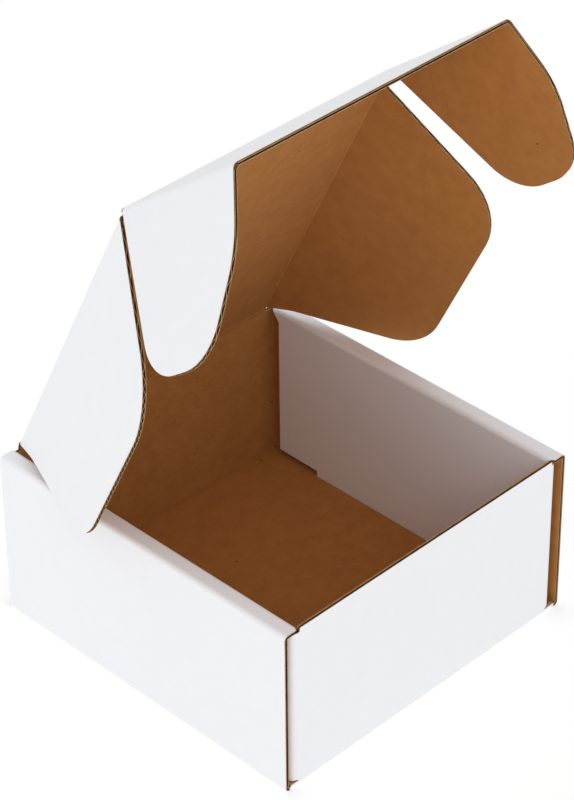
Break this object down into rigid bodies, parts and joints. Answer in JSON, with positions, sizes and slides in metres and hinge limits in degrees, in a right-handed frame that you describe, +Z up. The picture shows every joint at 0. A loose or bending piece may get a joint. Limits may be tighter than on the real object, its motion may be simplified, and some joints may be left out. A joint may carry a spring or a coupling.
{
  "type": "corrugated mailer box",
  "caption": "Open one-piece corrugated mailer box with rolled double side walls, a hinged lid, side flaps and a tuck flap with rounded ears.",
  "frame": {"origin": "centre of the underside of the base", "axes": "+Z up out of the tray, +Y towards the back wall that carries the lid, +X to the right seen from the front"},
  "size_m": [0.1958, 0.16, 0.2641],
  "materials": {
    "white_lined_board": "white coated liner outside, brown kraft liner inside, matte"
  },
  "bodies": {
    "tray": {"tray": "white_lined_board"},
    "lid": {"lid": "white_lined_board"},
    "side_flap_left": {"side_flap_left": "white_lined_board"},
    "side_flap_right": {"side_flap_right": "white_lined_board"},
    "tuck_flap": {"tuck_flap": "white_lined_board"},
    "ear_left": {"ear_left": "white_lined_board"},
    "ear_right": {"ear_right": "white_lined_board"}
  },
  "joints": [
    {"name": "lid_hinge", "type": "hinge", "parent": "tray", "child": "lid", "pos_m": [0, 0.08, 0.077], "axis": [-1, 0, 0], "range_deg": [-5, 116]},
    {"name": "side_flap_left_fold", "type": "hinge", "parent": "lid", "child": "side_flap_left", "pos_m": [-0.0687, 0.04537, 0.148], "axis": [0, 0.4384, -0.8988], "range_deg": [-25, 65]},
    {"name": "side_flap_right_fold", "type": "hinge", "parent": "lid", "child": "side_flap_right", "pos_m": [0.0687, 0.04537, 0.148], "axis": [0, -0.4384, 0.8988], "range_deg": [-20, 70]},
    {"name": "tuck_flap_fold", "type": "hinge", "parent": "lid", "child": "tuck_flap", "pos_m": [0, 0.01074, 0.21901], "axis": [-1, 0, 0], "range_deg": [-17, 27]},
    {"name": "ear_left_fold", "type": "hinge", "parent": "tuck_flap", "child": "ear_left", "pos_m": [-0.0706, 0.01074, 0.21901], "axis": [0, 0.7986, -0.6018], "range_deg": [-30, 60]},
    {"name": "ear_right_fold", "type": "hinge", "parent": "tuck_flap", "child": "ear_right", "pos_m": [0.0706, 0.01074, 0.21901], "axis": [0, -0.7986, 0.6018], "range_deg": [-15, 75]}
  ]
}
